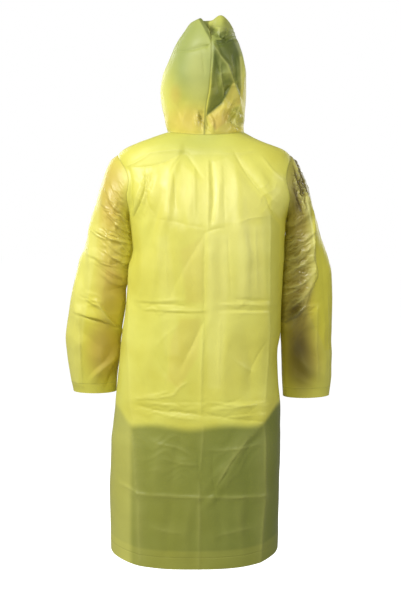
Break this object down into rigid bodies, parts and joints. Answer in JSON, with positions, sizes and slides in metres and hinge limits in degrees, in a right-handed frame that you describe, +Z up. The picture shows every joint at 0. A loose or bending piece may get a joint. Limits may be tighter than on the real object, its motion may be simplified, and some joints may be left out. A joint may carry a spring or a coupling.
{
  "type": "hooded raincoat",
  "caption": "Hooded raincoat of thin translucent film in its worn form, hollow and open at face, hem and cuffs, with set-in sleeves, a centre-seamed hood and a snap-closed front.",
  "frame": {"origin": "middle of the neck opening, level with the seam between hood and coat at the shoulders", "axes": "+Z up, +X the wearer's left, -Y the front of the coat and +Y its back"},
  "size_m": [0.6955, 0.3118, 1.3754],
  "materials": {
    "body_film": "satin translucent film, lime yellow",
    "sleeve_film": "satin translucent film, lime yellow",
    "hood_film": "satin translucent film, lime yellow",
    "snap": "smooth moulded plastic"
  },
  "bodies": {
    "root": {"back_panel": "body_film", "front_left": "body_film", "front_right": "body_film", "sleeve_left": "sleeve_film", "sleeve_right": "sleeve_film", "hood_left": "hood_film", "hood_right": "hood_film", "snap_1": "snap", "snap_2": "snap", "snap_3": "snap", "snap_4": "snap", "snap_5": "snap"}
  },
  "joints": []
}
